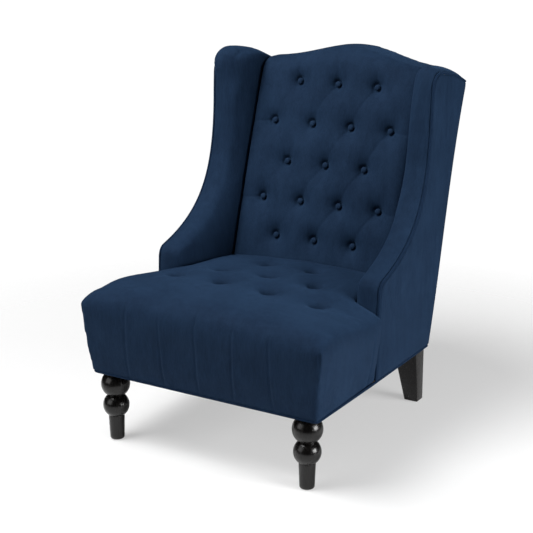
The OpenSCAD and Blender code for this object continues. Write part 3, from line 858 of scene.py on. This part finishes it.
def seat_rear_block(u, v, w):
    """The narrower rear of the seat, between the wings and up to the back."""
    y = front_y + 70 + (seat_rear - 1 - front_y - 70) * (v + 1) / 2
    half = wing_inside(y, arm_shoulder) - 2
    x = u * half
    beside_wing = edge_drop(half - np.abs(x), 14) * smooth((y - arm_front + 30) / 60)
    drop = beside_wing + edge_drop(seat_rear - 1 - y, 14)
    top = roll_z + seat_height(x, y) - np.minimum(drop, 18) - 0.6
    return x, y, seat_low + (top - seat_low) * (w + 1) / 2


def tuft_hollow(r, depth, reach):
    """Depth of the hollow that a tuft pulls, at distance r from it."""
    return depth * np.exp(-((r / reach) ** 1.6))


def seat_tuft_gap(x, y):
    """Distance in plan from the nearest seat tuft."""
    return np.min([np.hypot(x - a, y - b) for a, b in seat_tufts()], axis=0)


def near_corner(x, y):
    """Distance in plan from the two front corners of the seat."""
    return np.hypot(np.abs(x) - seat_x + 6, y - front_y - 6)


def seat_cushion():
    """The tight seat in one piece with its front: joined, tufted, stuffed and hollowed underneath."""
    seat = block("seat_cushion_cover", 60, seat_front_block)
    rear = block("seat_rear", 60, seat_rear_block)
    only(seat)
    rear.select_set(True)
    bpy.ops.object.join()
    remesh(seat, 6)
    points = points_of(seat)
    x, y, z = points.T
    up = normals_of(seat)[:, 2]
    upper = smooth((z - 230) / 90)
    gap = seat_tuft_gap(x, y)
    lower = 6 * np.clip(up, 0, 1) + tuft_hollow(gap, 19, 33) * smooth((up - 0.2) / 0.5)
    points[:, 2] -= lower
    points[:, 1] += 5 * upper * smooth((-normals_of(seat)[:, 1] - 0.3) / 0.5)
    put_points(seat, points)
    x, y, z = points.T
    hem = 1 - smooth((z - cover_low - 2) / 40)
    tufts = (1 - smooth((gap - 5) / 12)) * (up > 0.2)
    corners = (1 - smooth(near_corner(x, y) / 40)) * (1 - smooth((z - roll_z + 40) / 40))
    at_back = smooth((y - seat_rear + 50) / 40)
    swell(seat, np.maximum.reduce([hem, tufts, corners, at_back, np.full(x.shape, 0.1)]), 8)
    apply(seat, "SMOOTH", factor=0.5, iterations=6)
    finer(seat)
    press(seat, seat_detail)
    carve(seat, frame_room())
    rounded_look(seat, 80)
    wear(seat, navy)
    return seat


def seat_detail(x, y, z, normal):
    """Pleats down the front, a fold by each arm, the tufts' bottoms and the sewn corners."""
    front = smooth((-normal[:, 1] - 0.35) / 0.4)
    depth = np.zeros(x.shape)
    for k in range(-2, 3):
        d = x - k * 0.75 * tuft_x - 3 * math.sin(k * 2.1) * (z - 300) / 100
        length = smooth((z - cover_low + 10) / 30) * (1 - smooth((z - 392 + 6 * abs(k)) / 30))
        depth -= 1.7 * np.exp(-((d / 2.8) ** 2)) * length * front
        depth += 0.7 * np.exp(-(((d - 9) / 8) ** 2)) * length * front
    flank = smooth((np.abs(normal[:, 0]) - 0.4) / 0.4)
    fold = y - arm_front + 46 - (z - 280) * 0.06
    low = 1 - smooth((z - 300) / 60)
    depth -= 2.2 * np.exp(-((fold / 4.0) ** 2)) * flank * low
    depth -= 17 * np.exp(-((seat_tuft_gap(x, y) / 16) ** 2)) * smooth((normal[:, 2] - 0.2) / 0.4)
    corner = near_corner(x, y)
    seam = (1 - smooth((z - roll_z + 10) / 16)) * smooth((z - cover_low + 12) / 20)
    depth -= 3.4 * np.exp(-((corner / 5.5) ** 2)) * seam
    return depth


def frame_room():
    """The room that the rails and springs take under the seat."""
    deselect()
    bpy.ops.mesh.primitive_cube_add(size=1)
    room = named("frame_room")
    low = np.array([-rail_x - 0.5, rail_front - 0.5, base_z - 30])
    high = np.array([rail_x + 0.5, rear_y, deck_z + 0.5])
    put_points(room, (low + high) / 2 + points_of(room) * MM * (high - low))
    return room


# ---------- back ----------


def back_block(u, v, w):
    """The stuffed back: v from its face to its rear, w up to the crest."""
    x = u * back_half
    top = crest_z(x) - 2
    share = (w + 1) / 2
    z = back_low + (top - back_low) * share
    face = back_face(z) + 12
    rear = back_line(z) - panel_t - 1
    depth = (v + 1) / 2
    y = face + (rear - face) * depth
    y = y + edge_drop(back_half - np.abs(x), 26) * (1 - depth)
    from_top = top - z
    y = y + edge_drop(from_top, 30) * (1 - depth) - edge_drop(from_top, 5) * depth
    z = z - (edge_drop(y - face, 18) + edge_drop(rear - y, 5)) * smooth((share - 0.93) / 0.07)
    return x, y, z


def button_gap(x, z):
    """Distance on the back's face from the nearest button."""
    return np.min([np.hypot(x - a, z - b) for a, b, _ in button_places()], axis=0)


def pleat_lines():
    """Folds from each button to the two below it, to the crest and to the wings."""
    places = button_places()
    lines = []
    for x, z, row in places:
        for px, pz, below in places:
            if below == row + 1 and abs(px - x) < button_pitch * 0.7:
                bow = 12 if px < x else 5
                middle = ((x + px) / 2 - bow * (1 if px < x else -1) * 0.7, (z + pz) / 2 + bow)
                line = [bez2((x, z), middle, (px, pz), t) for t in np.linspace(0, 1, 9)]
                slack = 0.5 if x > -button_pitch / 2 else 0.25
                lines.append((line, slack if px < x else 0.12))
        if row == 0:
            lines.append(([(x, z), (x * 1.03, z + 70)], 0.35))
        if row % 2 and abs(x) > button_pitch:
            lines.append(([(x, z), (math.copysign(back_half, x), z - 3)], 0.5))
    return lines


def back_cushion():
    """The deep-buttoned back, with its folds laid in before the stuffing presses it out."""
    back = block("back_cushion_cover", 72, back_block)
    outwards(back)
    remesh(back, 6)
    points = points_of(back)
    normal = normals_of(back)
    x, _, z = points.T
    facing = smooth((-normal[:, 1] - 0.3) / 0.5)
    gap = button_gap(x, z)
    points[:, 1] += (tuft_hollow(gap, tuft_depth - 14, 29) + tuft_hollow(gap, 5, 13)) * facing
    for line, strength in pleat_lines():
        d, _, _ = off_line(x, z, line)
        points[:, 1] += 3 * strength * np.exp(-((d / 9) ** 2)) * facing
    put_points(back, points)
    buttons = 1 - smooth((gap - 10) / 10)
    sides = smooth((np.abs(x) - back_half + 12) / 10)
    hem = 1 - smooth((z - back_low - 10) / 30)
    behind = smooth((normal[:, 1] - 0.2) / 0.4)
    crest = smooth((normal[:, 2] - 0.4) / 0.3) * (z > crest_top - 200)
    held = np.maximum.reduce([buttons, sides, hem, behind, crest])
    swell(back, np.where(facing > 0.5, held, np.maximum(held, 0.3)), 14)
    finer(back)
    press(back, back_detail)
    carve(back, back_room())
    rounded_look(back, 80)
    wear(back, navy)
    return back


def back_detail(x, y, z, normal):
    """Sharp folds in the cloth between the buttons, and the ring each button presses."""
    facing = smooth((-normal[:, 1] - 0.1) / 0.4)
    depth = np.zeros(x.shape)
    for line, strength in pleat_lines():
        d, side, where = off_line(x, z, line)
        fade = smooth(where / 0.12) * (1 - 0.55 * where)
        depth -= 1.7 * strength * fade * np.exp(-((d / 2.4) ** 2))
        depth += 0.9 * strength * fade * np.exp(-(((d - 6) / 5) ** 2)) * (side < 0)
    gap = button_gap(x, z)
    depth -= 2.0 * np.exp(-(((gap - 11) / 4) ** 2))
    return depth * facing


def back_room():
    """The room behind the stuffing for the posts, webbing and crest rail."""

    def rule(u, v, w):
        x = u * (back_half + 20)
        top = crest_z(x) - 14
        z = back_low - 20 + (top - back_low + 20) * (w + 1) / 2
        hem = smooth((z - (crest_z(x) - crest_roll)) / 4)
        rear = back_line(z) + 30 - (30 + panel_t + 0.2) * hem
        front = back_line(z) - 37
        return x, front + (rear - front) * (v + 1) / 2, z

    return block("back_room", 40, rule)


def covered_button():
    """A domed button with the cloth gathered round its rim."""
    deselect()
    radius = button_d / 2 - 1.1
    bpy.ops.mesh.primitive_circle_add(vertices=40, radius=radius * 0.8 * MM, fill_type="NGON")
    button = named("back_button")
    edit(button)
    steps = [(0.6, 1.16), (1.2, 1.06), (1.3, 1.01)]
    dome = np.linspace(0.15, 1.35, 7)
    for a, b in zip(dome[:-1], dome[1:]):
        steps.append((dome_h * (math.sin(b) - math.sin(a)), math.cos(b) / math.cos(a)))
    lift = 0.0
    for rise, grow in steps:
        lift += rise
        bpy.ops.mesh.extrude_region_move(TRANSFORM_OT_translate={"value": (0, 0, rise * MM)})
        bpy.ops.transform.resize(value=(grow, grow, 1), center_override=(0, 0, lift * MM))
    done()
    x, y, z = points_of(button).T
    turn = np.arctan2(y, x)
    gather = 1 + 0.025 * np.cos(13 * turn) * np.exp(-((z - 1.5) / 1.6) ** 2)
    put_points(button, np.stack([x * gather, y * gather, z], -1))
    outwards(button)
    apply(button, "SUBSURF", levels=1, render_levels=1)
    rounded_look(button, 80)
    return button


def back_buttons():
    """One covered button at each place, set square to the raked back."""
    pattern = covered_button()
    lean = math.atan(back_rake)
    made = []
    for x, z, row in button_places():
        column = sum(1 for b in made if b.name.startswith(f"back_button_{row + 1}_")) + 1
        button = pattern.copy()
        button.data = pattern.data.copy()
        button.name = f"back_button_{row + 1}_{column}"
        button.data.name = button.name
        bpy.context.scene.collection.objects.link(button)
        across, level, forward = points_of(pattern).T
        y = button_plane(z) - 1 - forward * math.cos(lean) + level * math.sin(lean)
        up = z + forward * math.sin(lean) + level * math.cos(lean)
        put_points(button, np.stack([x + across, y, up], -1))
        outwards(button)
        rounded_look(button, 80)
        wear(button, navy)
        made.append(button)
    bpy.data.objects.remove(pattern)
    return made


# ---------- arms and wings ----------


def wing_rings():
    """Side outlines of the wing cover from its rounded inner edge out to the welt."""
    rings = []
    width = ply_x + 1.2 - wing_x
    for turn in np.linspace(math.pi / 2, 0, 7):
        inset = wing_round * (1 - math.cos(turn))
        x = wing_x + wing_round * (1 - math.sin(turn))
        rings.append((x, inset))
    for share in np.linspace(wing_round / width + 0.06, 0.97, 9):
        rings.append((wing_x + width * share, -3.5 * math.sin(math.pi * share)))
    rings.append((wing_x + width, 1.0))
    made = []
    low = side_mm("wing_cover_left", 0, Z)
    for x, inset in rings:
        share = (x - wing_x) / width
        outline = wing_outline(inset, low, wing_crown * (1 - share**6))
        made.append([(x, *wing_corner(y, z, max(1 - share, 0) ** 2)) for y, z in outline])
    return made


def wing_corner(y, z, share):
    """Rounds the top front corner more on the wing's inner side."""
    away = ((y - wing_front - 20) ** 2 + (z - wing_top + 20) ** 2) / 4000
    cut = wing_cut * share * math.exp(-away)
    return y + cut, z - 0.8 * cut


def wing_taper(points):
    """Leans the inner face in towards the back."""
    x, y, z = points.T
    share = np.clip((ply_x - x) / (ply_x - wing_x), 0, 1)
    points[:, 0] = x + (wing_inside(y, z) - wing_x) * smooth(share)
    return points


def wing_cover():
    """The stuffed inner arm and wing in one piece."""
    wing = skin("wing_cover_left_padded", wing_rings())
    remesh(wing, 5)
    points = wing_taper(points_of(wing))
    put_points(wing, points)
    x, _, z = points.T
    by_welt = smooth((x - ply_x + 12) / 10)
    behind = smooth((normals_of(wing)[:, 1] - 0.2) / 0.4)
    below_seat = 1 - smooth((z - 300) / 30)
    swell(wing, np.maximum.reduce([by_welt, behind, below_seat, np.full(x.shape, 0.15)]), 3)
    finer(wing)
    carve(wing, wing_room())
    rounded_look(wing, 80)
    wear(wing, navy)
    return wing


def fuller_top(x, y, z, normal):
    """The right wing is stuffed a little fuller at its top than the left one."""
    rise = smooth((z - wing_top + 70) / 60) * (1 - 0.6 * smooth((y - wing_front - 70) / 120))
    return 15 * rise * np.clip(normal[:, 2], 0, 1) ** 0.5


def wing_room():
    """The room that the plywood wing takes inside the cover."""
    outline = wing_outline(3.0, base_z)
    stations = (rail_x + 0.2, side_x + 8)
    return skin("wing_room", [[(x, y, z) for y, z in outline] for x in stations])


def side_panel():
    """The taut outside panel, softly padded towards its middle."""
    deselect()
    edge = wing_edge(panel_t + 0.2, cover_low)
    z = np.linspace(edge[-1, 1] - 12, cover_low, 24)
    outline = np.concatenate([edge, np.stack([back_line(z) - 1, z], -1)])
    bpy.ops.mesh.primitive_circle_add(vertices=len(outline), radius=1, fill_type="NGON")
    panel = named("side_panel_left_padded")
    put_points(panel, [(ply_x + 0.2, y, z) for y, z in outline])
    edit(panel)
    bpy.ops.mesh.extrude_region_move(TRANSFORM_OT_translate={"value": ((panel_t - 2.4) * MM, 0, 0)})
    for inset, lift in ((0.8, 1.2), (1.6, 0.9), (3.5, 0.4)):
        bpy.ops.mesh.inset(thickness=inset * MM, depth=0)
        bpy.ops.transform.translate(value=(lift * MM, 0, 0))
    done()
    outwards(panel)
    rounded_look(panel, 35)
    wear(panel, navy)
    return panel


def outside_back():
    """The outside back, wrapped over the posts and tucked under the crest."""
    half = ply_x - fit_gap

    def rule(u, v, w):
        x = u * half
        top = np.where(np.abs(x) > wing_x, wing_rear_z - 5, crest_z(x) - crest_roll + 10)
        z = cover_low + (top - cover_low) * (w + 1) / 2
        edge = np.minimum(half - np.abs(x), np.minimum(z - cover_low, top - z))
        outer = back_line(z) - 2.5 * (1 - smooth(edge / 7)) - 0.3
        inner = back_line(z) - panel_t
        return x, inner + (outer - inner) * (v + 1) / 2, z

    panel = block("outside_back_cover", 90, rule)
    outwards(panel)
    rounded_look(panel, 50)
    wear(panel, navy)
    return panel


def side_welt():
    """The piping round the outside edge of the arm and wing."""
    edge = wing_edge(panel_t / 2, cover_low + 1, 0.0, 2)
    welt = cord_along("side_piping_left", [(side_x - panel_t / 2, y, z) for y, z in edge], welt_d)
    wear(welt, welt_navy)
    return welt


def round_corner(corner, start, end, radius):
    """A rounded turn at a corner, between the points it comes from and goes to."""
    corner, start, end = (np.array(p, float) for p in (corner, start, end))
    a = corner + (start - corner) / np.linalg.norm(start - corner) * radius
    b = corner + (end - corner) / np.linalg.norm(end - corner) * radius
    return [bez2(a, corner, b, s) for s in np.linspace(0, 1, 7)]


def base_piping():
    """The piping that runs all round the base."""
    radius = panel_t / 2
    z = base_z + radius
    front = (seat_x - base_tuck - radius, front_y + front_tuck + radius)
    arm = (side_x - radius, arm_front - 15)
    rear = (side_x - radius, back_line(base_z + panel_t) - radius)
    path = round_corner(front, (0, front[1]), arm, 14)
    path += [np.array(arm) - (0, 20), np.array(arm) + (0, 20)]
    path += round_corner(rear, arm, (0, rear[1]), 6)
    path += [(-x, y) for x, y in path[::-1]]
    welt = cord_along("base_piping", [(x, y, z) for x, y in path], welt_d, closed=True)
    wear(welt, welt_navy)
    return welt


# ---------- underside and legs ----------


def front_leg():
    """A turned leg: two balls over a tapered shank."""
    low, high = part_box("front_leg_left")
    cx, cy = (low.x + high.x) / 2 / MM, (low.y + high.y) / 2 / MM
    top, foot = high.z / MM, low.z / MM
    upper, lower, neck = (base_z - 34, 38.5), (base_z - 94, 35), (base_z - 63, 20.5)
    shank, toe = 21.5, 19
    line = [(foot, toe - 4), (foot + 1, toe - 1.6), (foot + 3.5, toe)]
    shank_top = lower[0] - math.sqrt(lower[1] ** 2 - (shank + 2) ** 2)
    taper = (shank - toe) / (shank_top - foot)
    line += [(z, toe + taper * (z - foot)) for z in np.linspace(foot + 12, shank_top - 6, 5)]
    line += [(shank_top - 4, shank - 0.4), (shank_top - 1.2, shank - 0.8)]
    for (z0, r), start, end in ((lower, shank + 1.4, neck[1]), (upper, neck[1], None)):
        a = -math.acos(start / r)
        b = math.acos(end / r) if end else math.asin((top - z0) / r)
        line += [(z0 + r * math.sin(t), r * math.cos(t)) for t in np.linspace(a, b, 17)]
    deselect()
    bpy.ops.mesh.primitive_circle_add(vertices=64, radius=line[0][1] * MM, fill_type="NGON")
    leg = named("front_leg_left_turned")
    put_points(leg, points_of(leg) + [cx, cy, line[0][0]])
    edit(leg)
    for (z0, r0), (z1, r1) in zip(line[:-1], line[1:]):
        bpy.ops.mesh.extrude_region_move(TRANSFORM_OT_translate={"value": (0, 0, (z1 - z0) * MM)})
        centre = (cx * MM, cy * MM, z1 * MM)
        bpy.ops.transform.resize(value=(r1 / r0, r1 / r0, 1), center_override=centre)
    done()
    outwards(leg)
    rounded_look(leg, 35)
    wear(leg, espresso)
    return leg


def rear_leg():
    """A square leg raked back, with its edges eased."""
    low, high = (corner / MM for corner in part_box("rear_leg_left"))
    foot = np.array([[low.x, high.y - foot_size[1]], [low.x + foot_size[0], high.y]])
    head = np.array([[high.x - head_size[0], low.y], [high.x, low.y + head_size[1]]])
    deselect()
    bpy.ops.mesh.primitive_cube_add(size=1)
    leg = named("rear_leg_left_squared")
    side = points_of(leg) * MM + 0.5
    share = side[:, 2]
    ends = foot + share[:, None, None] * (head - foot)
    x, y = (np.where(side[:, k] > 0.5, ends[:, 1, k], ends[:, 0, k]) for k in (X, Y))
    put_points(leg, np.stack([x, y, low.z + share * (high.z - low.z)], -1))
    apply(leg, "BEVEL", width=2.4 * MM, segments=3, limit_method="NONE")
    outwards(leg)
    rounded_look(leg, 35)
    wear(leg, espresso)
    return leg


def dust_sheet():
    """The black cloth stapled across the underside."""
    low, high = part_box("dust_cover")
    width, length = high.x - low.x, high.y - low.y
    front, rear, wide = low.y / MM, high.y / MM, width / 2 / MM
    narrow = seat_x - base_tuck - 9
    deselect()
    bpy.ops.mesh.primitive_grid_add(x_subdivisions=60, y_subdivisions=56, size=1)
    sheet = named("dust_cloth_sheet")
    x, y, _ = (points_of(sheet) * MM).T
    depth = (low.y + length * (y + 0.5)) / MM
    half = np.interp(depth, [front, arm_front], [narrow, wide])
    sag = -1.5 * np.cos(math.pi * x) * np.cos(math.pi * y)
    waves = [0.5 * noise.noise(Vector((a * 9, b * 9, 3.1))) for a, b in zip(x, y)]
    edge = smooth((0.5 - np.maximum(np.abs(x), np.abs(y))) / 0.1)
    height = low.z / MM + 0.4 + (sag * 0.6 + np.array(waves)) * edge
    put_points(sheet, np.stack([2 * x * half, depth, height], -1))
    apply(sheet, "SOLIDIFY", thickness=0.4 * MM, offset=0)
    rounded_look(sheet, 60)
    wear(sheet, dust_cloth)
    area = 2 * float(np.trapz([narrow, wide, wide], [front, arm_front, rear])) * MM * MM
    return sheet, (width, length), area


# ---------- putting the chair together ----------


def fit(piece, slot, *nodes):
    """Rides the piece on the chair, in place of the CAD nodes it stands for."""
    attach(piece, "root")
    if nodes:
        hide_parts(*nodes)


def fit_pair(left, slot, *nodes):
    """Fits a left hand piece and its mirror image; nodes are the left hand names."""
    fit(left, slot, *nodes)
    right = mirrored(left, left.name.replace("left", "right"))
    fit(right, slot, *(n.replace("left", "right") for n in nodes))
    return right


def chair():
    """Makes every piece and fits it in place of its CAD nodes."""
    seat = seat_cushion()
    fit(seat, "navy_fabric", "seat_cover", "seat_foam", "seat_tuft_ties")
    back = back_cushion()
    fit(back, "navy_fabric", "back_cover", "back_foam")
    wing = wing_cover()
    right = fit_pair(wing, "navy_fabric", "wing_cover_left", "wing_foam_left")
    press(right, fuller_top)
    for button in back_buttons():
        fit(button, "navy_fabric", "back_buttons")
    fit_pair(side_panel(), "navy_fabric", "side_panel_left")
    fit(outside_back(), "navy_fabric", "outside_back_panel")
    fit_pair(side_welt(), "welt_fabric", "side_welt_left")
    fit(base_piping(), "welt_fabric", "base_welt")
    fit_pair(front_leg(), "espresso_wood", "front_leg_left")
    fit_pair(rear_leg(), "espresso_wood", "rear_leg_left")
    sheet, flat, area = dust_sheet()
    fit(sheet, "dust_cloth", "dust_cover")


bpy.context.scene.view_settings.view_transform = "Standard"
camera()
surroundings()
lights()
floor()
dress_frame()
chair()
